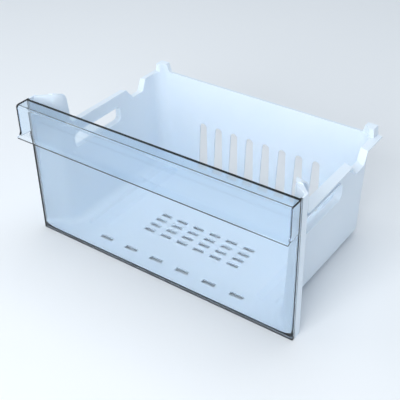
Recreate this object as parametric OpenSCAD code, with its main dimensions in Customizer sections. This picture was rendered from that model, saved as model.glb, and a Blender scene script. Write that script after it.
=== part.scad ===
// Freezer drawer: a white moulded tub closed at the front by a clear panel
// whose full-width pull is moulded on.
// Right is +X, the rear of the drawer is +Y, up is +Z. The origin is on the
// surface that the drawer stands on, under the middle of its bounding box.
// Distances from front to rear below are from the clear panel's front face.

/* [Front panel] */
// Width of the clear panel, and of the tub's front frame
panel_w = 450; // [420:1:480]
// Height of the clear panel
panel_h = 226; // [215:1:240]
// Thickness of the panel's face
panel_t = 3; // [2.4:0.1:3.6]
// Thickness of the rim along the panel's sides and bottom
rim_t = 3; // [2:0.1:3.2]
// Depth of the rim, measured from the panel's front face
rim_depth = 5; // [4:0.1:7]

/* [Pull] */
// How far the pull stands out from the panel's face
pull_depth = 19.5; // [17:0.5:26]
// Height of the pull's end walls
pull_h = 50; // [40:1:60]
// Wall thickness of the pull
pull_t = 2.6; // [2:0.1:3.5]
// Outer radius along the pull's top front edge
pull_edge_r = 4; // [3:0.5:6]
// Radius of the forward flare along the pull's lower lip
lip_r = 9; // [6:0.5:11]
// Angle that the flare turns through
lip_turn = 75; // [45:1:80]

/* [Tub] */
// Half of the inside width, at the floor
side_x = 187.5; // [170:0.5:192]
// Inside rear face, at the floor
rear_y = 264; // [240:1:290]
// Wall and floor thickness
wall_t = 2.4; // [1.8:0.1:3]
// Lean of the walls, in degrees from upright
draft = 2; // [1:0.1:3]
// Gap between the floor's underside and the surface below
floor_rise = 3.6; // [3.4:0.1:5]
// Radius where the floor turns up into the walls
floor_fillet_r = 12; // [8:0.5:13]
// Radius of the upright rear corners, at the floor
corner_r = 18; // [16:0.5:30]
// Height of the rails and of the rear rim
rail_z = 171.7; // [165:0.5:180]
// Side clearance between the tub and the clear panel's rim
fit_gap = 0.3; // [0.2:0.1:0.6]

/* [Front flare] */
// Slope of the flared wall: how far it runs back for each mm inwards
flare_slope = 0.75; // [0.6:0.05:0.9]
// Where the straight side would meet the flare, from the panel's front face
flare_y = 31; // [28:0.5:36]
// Radius of the bend between the side and the flare
bend_r = 30; // [26:1:34]
// Depth of the tub's side returns, from the panel's front face
return_y = 18; // [16:0.5:22]

/* [Rails] */
// Thickness of the rails and of the rear rim
rail_t = 2.2; // [1.6:0.1:2.8]
// Downward slope of the rails, from the wall outwards
rail_slope = 13.5; // [8:0.5:18]
// Half width over the rails, at the panel's front face
rail_front_x = 209.3; // [205:0.1:212]
// Half width over the rails, at the rear
rail_back_x = 203.5; // [200:0.1:208]
// Width of the rear rim, from the inside of the rear wall
rear_rim_w = 7.2; // [5:0.1:10]
// Distance of the stop notch's front edge from the panel's front face
notch_y = 180; // [150:1:185]
// Depth of the stop notch
notch_depth = 18.5; // [10:0.5:22]
// Length of the notch's front slope
notch_front = 15; // [8:0.5:18]
// Length of the notch's flat bottom
notch_flat = 25; // [14:0.5:28]
// Length of the notch's rear ramp
notch_ramp = 9; // [6:0.5:14]

/* [Ears] */
// Distance of the ear's rear top corner from the panel's front face
ear_top_y = 32; // [28:0.5:38]
// Distance of the ear's rear edge from the panel's front face
ear_back_y = 51; // [46:0.5:56]
// Radius that rounds the ear's top rear corner
ear_round_r = 16; // [8:0.5:18]
// Width of the ear's flange, from the inside of the wall
ear_flange = 9; // [4:0.5:11]
// Radius of the valley between ear and rail
valley_r = 8; // [4:0.5:12]

/* [Posts] */
// Height of the rear corner posts
post_z = 185; // [178:0.5:192]
// Inner side of a post at its top
post_in_x = 180; // [177:0.5:184]
// Outer side of a post at its top
post_out_x = 195.5; // [192:0.5:198]
// Front side of a post
post_front_y = 262; // [256:0.5:266]
// How much wider a post is at its foot, on the inner side
post_flare = 6; // [2:0.5:8]

/* [Hand holes] */
// Front end of a hand hole
hole_y0 = 58; // [54:1:66]
// Rear end of a hand hole
hole_y1 = 161; // [140:1:166]
// Lower edge of a hand hole
hole_z0 = 127; // [118:0.5:132]
// Upper edge of a hand hole
hole_z1 = 152.5; // [148:0.5:158]
// Corner radius of a hand hole
hole_r = 8; // [4:0.5:11]
// How far the collar round a hand hole stands out from the wall
collar_out = 7; // [4:0.5:9]
// Thickness of the collar
collar_t = 2.2; // [1.6:0.1:2.8]

/* [Rear slots] */
// Number of upright slots in the rear wall
rear_slots = 8; // [4:1:8]
// Spacing of the rear slots
rear_slot_pitch = 30.3; // [28:0.1:34]
// Width of a rear slot near its top
rear_slot_top_w = 13.5; // [10:0.5:15]
// Width of a rear slot at its bottom
rear_slot_low_w = 19; // [16:0.5:20]
// Height of a rear slot's bottom edge
rear_slot_z0 = 9; // [8:0.5:14]
// Height of a rear slot's top
rear_slot_z1 = 97; // [80:1:120]

/* [Floor slots] */
// Columns of floor slots
grid_cols = 6; // [4:1:6]
// Rows of small floor slots
grid_rows = 4; // [3:1:6]
// Spacing of the columns of small slots
grid_pitch_x = 30.8; // [28:0.1:34]
// Spacing of the rows of small slots
grid_pitch_y = 14.6; // [12:0.1:18]
// First row of small slots, from the panel's front face
grid_y0 = 81.5; // [70:0.5:95]
// Length of a small slot
grid_slot_l = 19.5; // [14:0.5:22]
// Width of a small slot
grid_slot_w = 6.5; // [4:0.5:8]
// Spacing of the slots in the front row
front_pitch = 47.5; // [40:0.5:50]
// Front row of slots, from the panel's front face
front_slot_y = 28.5; // [24:0.5:40]
// Length of a slot in the front row
front_slot_l = 22.5; // [16:0.5:26]
// Width of a slot in the front row
front_slot_w = 8; // [5:0.5:9]
// Corner radius of the floor slots
floor_slot_r = 1.6; // [0.8:0.1:2]

/* [Runners] */
// Inner edge of a runner, from the middle of the floor
runner_x0 = 139.5; // [130:0.5:142]
// Outer edge of a runner, from the middle of the floor
runner_x1 = 173.5; // [168:0.5:174]
// Width of a runner's inner slope
runner_slope_in = 12; // [4:0.5:13]
// Width of a runner's outer slope
runner_slope_out = 5; // [3:0.5:8]
// Front end of a runner
runner_y0 = 41; // [38:0.5:60]
// Rear end of a runner
runner_y1 = 246; // [200:1:248]

/* [Hidden] */

$fn = 48;
bite = 1; // how far cutters pass a face
arc_steps = 6;

half_w = panel_w / 2;
floor_top = floor_rise + wall_t;
wall_run = wall_t / cos(draft);
foot = floor_fillet_r + 2;
flare_angle = atan(flare_slope);
flare_dir = [cos(flare_angle), -sin(flare_angle)];
flare_out = [sin(flare_angle), cos(flare_angle)];
turn = 90 - flare_angle;
lip_y = -pull_depth - lip_r * (1 - cos(lip_turn));

corner_x = side_x - corner_r;
corner_y = rear_y - corner_r;
bend_cx = side_x + bend_r;
bend_cy = flare_y + bend_r * tan(turn / 2);
flare_start = [bend_cx - bend_r * cos(turn), bend_cy - bend_r * sin(turn)];

rail_in_x = side_x + lean(rail_z);
rim_in_y = rear_y + lean(rail_z);
rim_out_y = rim_in_y + rear_rim_w;
notch_z = rail_z - notch_depth;
above_z = panel_h + 20;
mid_y = (lip_y + rim_out_y) / 2;

// Outward travel of a leaning wall between the floor and height z
function lean(z) = (z - floor_top) * tan(draft);

// Half width over the rails at a distance y from the front
function rail_x(y) = rail_front_x + (rail_back_x - rail_front_x) * y / rim_out_y;

// Points of an arc round c, from angle a0 to a1
function arc(c, r, a0, a1, steps = arc_steps) =
    [for (i = [0:steps]) let (a = a0 + (a1 - a0) * i / steps) c + r * [cos(a), sin(a)]];

// Section of floor edge, fillet and leaning wall. X runs outwards from the
// inner wall line at the floor, Y is the height. A flange wider than zero
// turns outwards at the top, and a square foot fills the outer fillet.
function wall_section(top_z, flange = 0, square = false) =
    let (
        c = [-floor_fillet_r * (1 - sin(draft)) / cos(draft), floor_top + floor_fillet_r],
        in_x = lean(top_z),
        out_x = in_x + wall_run,
        drop = tan(rail_slope),
        flange_x = in_x + flange,
        outer = square
            ? [[lean(floor_rise) + wall_run, floor_rise]]
            : arc(c, floor_fillet_r + wall_t, -draft, -90)
    )
    concat(
        [[-foot, floor_top]],
        arc(c, floor_fillet_r, -90, -draft),
        [[in_x, top_z]],
        flange > 0
            ? [[flange_x, top_z - flange * drop],
               [flange_x, top_z - flange * drop - rail_t],
               [out_x, top_z - wall_run * drop - rail_t]]
            : [[out_x, top_z - wall_run * drop]],
        outer,
        [[-foot, floor_rise]]
    );

// Straight stretch of wall that starts at p and runs towards -Y when a is 0
module wall_run_piece(p, a, length, section) {
    translate([p[0], p[1], 0])
        rotate([0, 0, a])
            rotate([90, 0, 0])
                linear_extrude(length)
                    polygon(section);
}

// Flat area extruded along X between x0 and x1, from points [y, z]
module across(x0, x1) {
    translate([x0, 0, 0])
        rotate([90, 0, 90])
            linear_extrude(x1 - x0)
                children();
}

module on_both_sides() {
    children();
    mirror([1, 0, 0]) children();
}

// Rectangle with rounded corners, centred on the origin
module rounded_rect(l, w, r) {
    x = l / 2 - r;
    y = w / 2 - r;
    polygon(concat(
        arc([x, y], r, 0, 90),
        arc([-x, y], r, 90, 180),
        arc([-x, -y], r, 180, 270),
        arc([x, -y], r, 270, 360)
    ));
}

// Top line of a side behind the ear's top, as [y, height above the rail]:
// rounded ear, valley, rail, stop notch and rail again
ear_h = panel_h - rail_z;
ear_x = side_x + (ear_top_y - flare_y) / tan(flare_angle) + lean(panel_h) / sin(flare_angle);
ear_lift = (ear_x - rail_in_x) * tan(rail_slope);
side_line = concat(
    [[ear_top_y, ear_h + ear_lift]],
    arc([ear_back_y - ear_round_r, ear_h + ear_lift - 2 - ear_round_r], ear_round_r, 75, 0),
    arc([ear_back_y + 2 + valley_r, valley_r], valley_r, 180, 270),
    [[notch_y, 0],
     [notch_y + notch_front, -notch_depth],
     [notch_y + notch_front + notch_flat, -notch_depth],
     [notch_y + notch_front + notch_flat + notch_ramp, 0],
     [rim_out_y + bite, 0]]
);

function unit(v) = v / norm(v);

// Line moved sideways to its right by d, with mitred corners
function shifted(line, d) = [
    for (i = [0:len(line) - 1])
        let (
            a = unit(i > 0 ? line[i] - line[i - 1] : line[1] - line[0]),
            b = unit(i < len(line) - 1 ? line[i + 1] - line[i] : line[i] - line[i - 1])
        )
        line[i] + d * [a[1] + b[1], -a[0] - b[0]] / (1 + a * b)
];

// Puts something drawn in the side line's frame on the right side, tipped to
// the rails' slope about the line where rail and wall meet
module on_rail(x0, x1) {
    translate([rail_in_x, 0, rail_z])
        rotate([0, rail_slope, 0])
            across(x0, x1)
                children();
}

// Everything above the side line
module above_side() {
    on_rail(-rail_in_x / 3, panel_w / 4)
        polygon(concat(
            [[ear_top_y, above_z]],
            side_line,
            [[rim_out_y + bite, above_z]]
        ));
}

// Region outside the middle of the side wall, seen from above
module outside_wall() {
    mid_top = lean(panel_h) + wall_run / 2;
    mid_rail = rail_in_x + wall_run / 2;
    start = flare_start + mid_top * flare_out;
    linear_extrude(above_z)
        polygon(concat(
            [start + half_w * flare_dir, start],
            arc([bend_cx, bend_cy], bend_r - mid_top, 180 + turn, 180),
            [[mid_rail, ear_back_y],
             [mid_rail, rim_out_y + 2 * bite],
             [panel_w, rim_out_y + 2 * bite]]
        ));
}

// Rail: a band of even thickness that follows the side line
module rail_band() {
    under = shifted(side_line, rail_t);
    intersection() {
        on_rail(-wall_run, panel_w / 8)
            polygon(concat(side_line, [for (i = [len(under) - 1:-1:0]) under[i]]));
        outside_wall();
    }
}

// Quarter turn of wall, cut off where the flare starts
module bend() {
    far = 2 * bend_r;
    translate([bend_cx, bend_cy, 0])
        intersection() {
            rotate([0, 0, 180])
                rotate_extrude(angle = 90)
                    translate([bend_r, 0])
                        mirror([1, 0])
                            polygon(wall_section(panel_h, ear_flange));
            translate([0, 0, -bite])
                linear_extrude(above_z)
                    polygon([[0, 0], [-far, 0], [-far, -far], [-far * cos(turn), -far * sin(turn)]]);
        }
}

module side_wall() {
    difference() {
        union() {
            wall_run_piece([side_x, corner_y], 0, corner_y - bend_cy, wall_section(panel_h));
            bend();
            wall_run_piece(flare_start, turn, panel_w / 8, wall_section(panel_h, ear_flange, true));
        }
        above_side();
    }
}

module rear_wall() {
    wall_run_piece([-corner_x, rear_y], 90, 2 * corner_x, wall_section(rail_z, rear_rim_w));
    on_both_sides()
        translate([corner_x, corner_y, 0])
            rotate_extrude(angle = 90)
                translate([corner_r, 0]) polygon(wall_section(rail_z, rear_rim_w));
}

module floor_plate() {
    inset = foot - 1;
    flare_in = flare_start - inset * flare_out;
    right = concat(
        [flare_in + flare_dir * (flare_in[1] - panel_t + bite) / sin(flare_angle)],
        arc([bend_cx, bend_cy], bend_r + inset, 183 + turn, 177),
        [[side_x - inset, rear_y - inset]]
    );
    left = [for (i = [len(right) - 1:-1:0]) [-right[i][0], right[i][1]]];
    translate([0, 0, floor_rise])
        linear_extrude(wall_t)
            polygon(concat(right, left));
}

// Outline that all of the tub stays within, seen from above
module tub_outline() {
    inside_rim = half_w - rim_t - fit_gap;
    right = [
        [inside_rim, panel_t],
        [inside_rim, rim_depth],
        [half_w, rim_depth],
        [half_w, return_y],
        [rail_x(ear_back_y) - 2, ear_top_y + 4],
        [rail_x(ear_back_y), ear_back_y],
        [rail_back_x, rim_out_y]
    ];
    left = [for (i = [len(right) - 1:-1:0]) [-right[i][0], right[i][1]]];
    linear_extrude(panel_h)
        polygon(concat(right, left));
}

module side_return() {
    translate([half_w - wall_t, rim_depth, 0])
        cube([wall_t, return_y - rim_depth, panel_h]);
}

module post() {
    foot_z = rail_z - 2 * rail_t;
    difference() {
        translate([0, rim_out_y, 0])
            rotate([90, 0, 0])
                linear_extrude(rim_out_y - post_front_y)
                    polygon([
                        [post_in_x - post_flare, foot_z],
                        [post_out_x + 2, foot_z],
                        [post_out_x, post_z],
                        [post_in_x, post_z]
                    ]);
        translate([corner_x, corner_y, foot_z - bite])
            cylinder(h = post_z - foot_z + 2 * bite, r = corner_r + lean(rail_z) + wall_run / 2);
    }
}

module hand_hole(grow, x0, x1) {
    across(x0, x1)
        translate([(hole_y0 + hole_y1) / 2, (hole_z0 + hole_z1) / 2])
            rounded_rect(hole_y1 - hole_y0 + 2 * grow, hole_z1 - hole_z0 + 2 * grow, hole_r + grow);
}

module rear_slot() {
    r = rear_slot_top_w / 2;
    translate([0, rim_out_y + bite, 0])
        rotate([90, 0, 0])
            linear_extrude(rim_out_y - rear_y + floor_fillet_r + 2 * bite)
                polygon(concat(
                    [[-rear_slot_low_w / 2, rear_slot_z0], [rear_slot_low_w / 2, rear_slot_z0]],
                    arc([0, rear_slot_z1 - r], r, 0, 180, 10)
                ));
}

module floor_slot(l, w) {
    translate([0, 0, -bite])
        linear_extrude(floor_top + 2 * bite)
            rounded_rect(l, w, floor_slot_r);
}

module floor_slots() {
    for (i = [0:grid_cols - 1]) {
        step = i - (grid_cols - 1) / 2;
        translate([step * front_pitch, front_slot_y, 0]) floor_slot(front_slot_l, front_slot_w);
        for (j = [0:grid_rows - 1])
            translate([step * grid_pitch_x, grid_y0 + j * grid_pitch_y, 0])
                floor_slot(grid_slot_l, grid_slot_w);
    }
}

// Runner under the floor, or the channel above it, between heights z0 and z1
module runner(z0, z1, grow) {
    slope_in = runner_slope_in;
    slope_out = runner_slope_out;
    x0 = runner_x0 - grow;
    x1 = runner_x1 + grow;
    intersection() {
        translate([0, runner_y1 + grow, 0])
            rotate([90, 0, 0])
                linear_extrude(runner_y1 - runner_y0 + 2 * grow)
                    polygon([[x0, z1], [x0 + slope_in, z0], [x1 - slope_out, z0], [x1, z1]]);
        translate([(x0 + x1) / 2, (runner_y0 + runner_y1) / 2, z0 - bite])
            linear_extrude(z1 - z0 + 2 * bite)
                rounded_rect(x1 - x0, runner_y1 - runner_y0 + 2 * grow, slope_in);
    }
}

module tub_shell() {
    intersection() {
        union() {
            floor_plate();
            rear_wall();
            on_both_sides() {
                side_wall();
                rail_band();
                post();
            }
        }
        tub_outline();
    }
}

module tub() {
    color("white")
        difference() {
            union() {
                tub_shell();
                on_both_sides() {
                    side_return();
                    hand_hole(collar_t, side_x + lean(hole_z0), side_x + lean(hole_z1) + wall_run + collar_out);
                    runner(0, floor_rise + wall_t / 2, wall_t / 2);
                }
            }
            on_both_sides() {
                hand_hole(0, side_x - wall_t, rail_front_x + bite);
                runner(wall_t, floor_top + bite / 2, 0);
            }
            for (i = [0:rear_slots - 1])
                translate([(i - (rear_slots - 1) / 2) * rear_slot_pitch, 0, 0]) rear_slot();
            floor_slots();
        }
}

// Section of the pull as an area: top wall, front wall and flared lip
module pull_section() {
    top = panel_h;
    front = -pull_depth;
    lip_z = panel_h - pull_h + lip_r;
    lip_c = [front - lip_r, lip_z];
    edge_c = [front + pull_edge_r, top - pull_edge_r];
    polygon(concat(
        [[panel_t, top]],
        arc(edge_c, pull_edge_r, 90, 180),
        arc(lip_c, lip_r, 0, -lip_turn),
        arc(lip_c, lip_r + pull_t, -lip_turn, 0),
        arc(edge_c, pull_edge_r - pull_t, 180, 90),
        [[panel_t, top - pull_t]]
    ));
}

// End wall of the pull as an area
module pull_end() {
    top = panel_h;
    front = -pull_depth;
    edge_c = [front + pull_edge_r, top - pull_edge_r];
    polygon(concat(
        [[panel_t, top]],
        arc(edge_c, pull_edge_r, 90, 180),
        [[front, top - pull_h], [panel_t, top - pull_h]]
    ));
}

module front_panel() {
    color("lightskyblue", 0.5) {
        union() {
            translate([-half_w, 0, 0]) cube([panel_w, panel_t, panel_h]);
            translate([-half_w, 0, 0]) cube([panel_w, rim_depth, rim_t]);
            across(-half_w, half_w) pull_section();
            on_both_sides() {
                translate([half_w - rim_t, 0, 0]) cube([rim_t, rim_depth, panel_h]);
                across(half_w - pull_t, half_w) pull_end();
            }
        }
    }
}

translate([0, -mid_y, 0]) {
    tub();
    front_panel();
}
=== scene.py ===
import math

import bpy
from mathutils import Matrix, Vector


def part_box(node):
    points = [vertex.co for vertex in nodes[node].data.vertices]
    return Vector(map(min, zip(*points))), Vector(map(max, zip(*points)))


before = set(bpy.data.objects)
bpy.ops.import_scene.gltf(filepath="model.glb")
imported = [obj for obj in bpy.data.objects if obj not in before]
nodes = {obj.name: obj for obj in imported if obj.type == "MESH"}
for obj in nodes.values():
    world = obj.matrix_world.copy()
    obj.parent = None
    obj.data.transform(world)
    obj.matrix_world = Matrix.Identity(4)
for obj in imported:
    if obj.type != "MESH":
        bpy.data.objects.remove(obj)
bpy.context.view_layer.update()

# The camera was solved from the photograph's edges, in a frame whose origin is
# on the front face of the clear panel. PANEL_Y is that face in this frame.
PANEL_TO_REAR_RIM = 0.277
PANEL_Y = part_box("tub")[1].y - PANEL_TO_REAR_RIM
CAMERA_TARGET = Vector((0.00606, 0.1 + PANEL_Y, 0.0831))
CAMERA_AZIMUTH = 0.6327
CAMERA_ELEVATION = 0.6098
CAMERA_ROLL = -0.023
CAMERA_DISTANCE = 1.2104
FOCAL_RATIO = 823.2 / 400
SENSOR = 36

# Linear colours
TUB_COLOURS = ((0.77, 0.86, 0.95), (0.80, 0.88, 0.97))
PANEL_COLOUR = (0.92, 0.97, 1.0, 1)
PANEL_TINT = (0.08, 0.42, 0.86, 1)
PANEL_TINT_DENSITY = 14.0
FLOOR_COLOUR = (0.84, 0.86, 0.88, 1)
SKY_COLOUR = (0.82, 0.91, 1.0, 1)
SKY_STRENGTH = 0.54
PLASTIC_IOR = 1.49

# Half the side of the square floor, in metres
FLOOR_REACH = 6.0

# Each lamp's name, place in metres, side in metres and power in watts
LAMPS = (
    ("key", (0.3, -1.95, 1.1), 1.4, 33),
    ("fill", (-1.6, -0.6, 1.1), 1.4, 5),
    ("top", (0.0, 0.4, 2.2), 1.6, 14),
)
LAMP_AIM = (0, 0, 0.1)

# Sockets of the Mix node when it mixes colours
MIX_A, MIX_B, MIX_RESULT = 6, 7, 2


def material(name):
    m = bpy.data.materials.new(name)
    m.use_nodes = True
    tree = m.node_tree
    return m, tree, tree.nodes["Principled BSDF"]


def noise(tree, scale, detail):
    coords = tree.nodes.new("ShaderNodeTexCoord")
    tex = tree.nodes.new("ShaderNodeTexNoise")
    tex.inputs["Scale"].default_value = scale
    tex.inputs["Detail"].default_value = detail
    tree.links.new(coords.outputs["Object"], tex.inputs["Vector"])
    return tex.outputs["Fac"]


def spread(tree, value, low, high):
    """Maps the middle of a noise's range to the range from low to high."""
    r = tree.nodes.new("ShaderNodeMapRange")
    r.inputs["From Min"].default_value = 0.3
    r.inputs["From Max"].default_value = 0.7
    r.inputs["To Min"].default_value = low
    r.inputs["To Max"].default_value = high
    tree.links.new(value, r.inputs["Value"])
    return r.outputs["Result"]


def mix_colour(tree, factor, a, b):
    m = tree.nodes.new("ShaderNodeMix")
    m.data_type = "RGBA"
    m.inputs[MIX_A].default_value = (*a, 1)
    m.inputs[MIX_B].default_value = (*b, 1)
    tree.links.new(factor, m.inputs[0])
    return m.outputs[MIX_RESULT]


def bump(tree, shader, height, strength, distance):
    b = tree.nodes.new("ShaderNodeBump")
    b.inputs["Strength"].default_value = strength
    b.inputs["Distance"].default_value = distance
    tree.links.new(height, b.inputs["Height"])
    tree.links.new(b.outputs["Normal"], shader.inputs["Normal"])


def white_plastic():
    m, tree, shader = material("tub_plastic")
    cloud = noise(tree, 9.0, 3.0)
    grain = noise(tree, 900.0, 2.0)
    colour = mix_colour(tree, spread(tree, cloud, 0, 1), *TUB_COLOURS)
    tree.links.new(colour, shader.inputs["Base Color"])
    tree.links.new(spread(tree, cloud, 0.36, 0.44), shader.inputs["Roughness"])
    shader.inputs["IOR"].default_value = PLASTIC_IOR
    shader.inputs["Subsurface Weight"].default_value = 0.12
    shader.inputs["Subsurface Radius"].default_value = (0.004, 0.005, 0.006)
    bump(tree, shader, grain, 0.12, 0.0001)
    return m


def clear_plastic():
    m, tree, shader = material("clear_plastic")
    shader.inputs["Base Color"].default_value = PANEL_COLOUR
    shader.inputs["Transmission Weight"].default_value = 1.0
    shader.inputs["IOR"].default_value = PLASTIC_IOR
    ripple = noise(tree, 14.0, 1.0)
    tree.links.new(spread(tree, ripple, 0.02, 0.05), shader.inputs["Roughness"])
    bump(tree, shader, ripple, 0.05, 0.0004)
    tint = tree.nodes.new("ShaderNodeVolumeAbsorption")
    tint.inputs["Color"].default_value = PANEL_TINT
    tint.inputs["Density"].default_value = PANEL_TINT_DENSITY
    tree.links.new(tint.outputs["Volume"], tree.nodes["Material Output"].inputs["Volume"])
    return m


def dress(name, mat):
    for slot in nodes[name].material_slots:
        slot.material = mat


def make_floor():
    r = FLOOR_REACH
    mesh = bpy.data.meshes.new("floor")
    mesh.from_pydata([(-r, -r, 0), (r, -r, 0), (r, r, 0), (-r, r, 0)], [], [(0, 1, 2, 3)])
    floor = bpy.data.objects.new("floor", mesh)
    bpy.context.scene.collection.objects.link(floor)
    mat, tree, shader = material("floor")
    shader.inputs["Base Color"].default_value = FLOOR_COLOUR
    shader.inputs["Roughness"].default_value = 0.8
    mesh.materials.append(mat)


def make_lamp(name, place, size, power):
    lamp = bpy.data.lights.new(name, "AREA")
    lamp.energy = power
    lamp.size = size
    obj = bpy.data.objects.new(name, lamp)
    obj.location = place
    obj.rotation_mode = "QUATERNION"
    obj.rotation_quaternion = (Vector(LAMP_AIM) - Vector(place)).to_track_quat("-Z", "Y")
    bpy.context.scene.collection.objects.link(obj)


def make_sky():
    world = bpy.data.worlds.new("studio")
    bpy.context.scene.world = world
    world.use_nodes = True
    background = world.node_tree.nodes["Background"]
    background.inputs["Color"].default_value = SKY_COLOUR
    background.inputs["Strength"].default_value = SKY_STRENGTH


def make_camera():
    data = bpy.data.cameras.new("camera")
    data.sensor_width = SENSOR
    data.sensor_height = SENSOR
    data.lens = FOCAL_RATIO * SENSOR
    data.clip_start = 0.05
    data.clip_end = 50
    cam = bpy.data.objects.new("camera", data)
    a, e, roll = CAMERA_AZIMUTH, CAMERA_ELEVATION, CAMERA_ROLL
    back = Vector((math.sin(a) * math.cos(e), -math.cos(a) * math.cos(e), math.sin(e)))
    level_right = (-back).cross(Vector((0, 0, 1))).normalized()
    level_up = level_right.cross(-back)
    right = level_right * math.cos(roll) + level_up * math.sin(roll)
    up = -level_right * math.sin(roll) + level_up * math.cos(roll)
    turn = Matrix((right, up, back)).transposed()
    cam.matrix_world = Matrix.Translation(CAMERA_TARGET + back * CAMERA_DISTANCE) @ turn.to_4x4()
    bpy.context.scene.collection.objects.link(cam)
    bpy.context.scene.camera = cam


dress("tub", white_plastic())
dress("front_panel", clear_plastic())
make_floor()
for lamp_values in LAMPS:
    make_lamp(*lamp_values)
make_sky()
make_camera()
bpy.context.scene.view_settings.view_transform = "Standard"
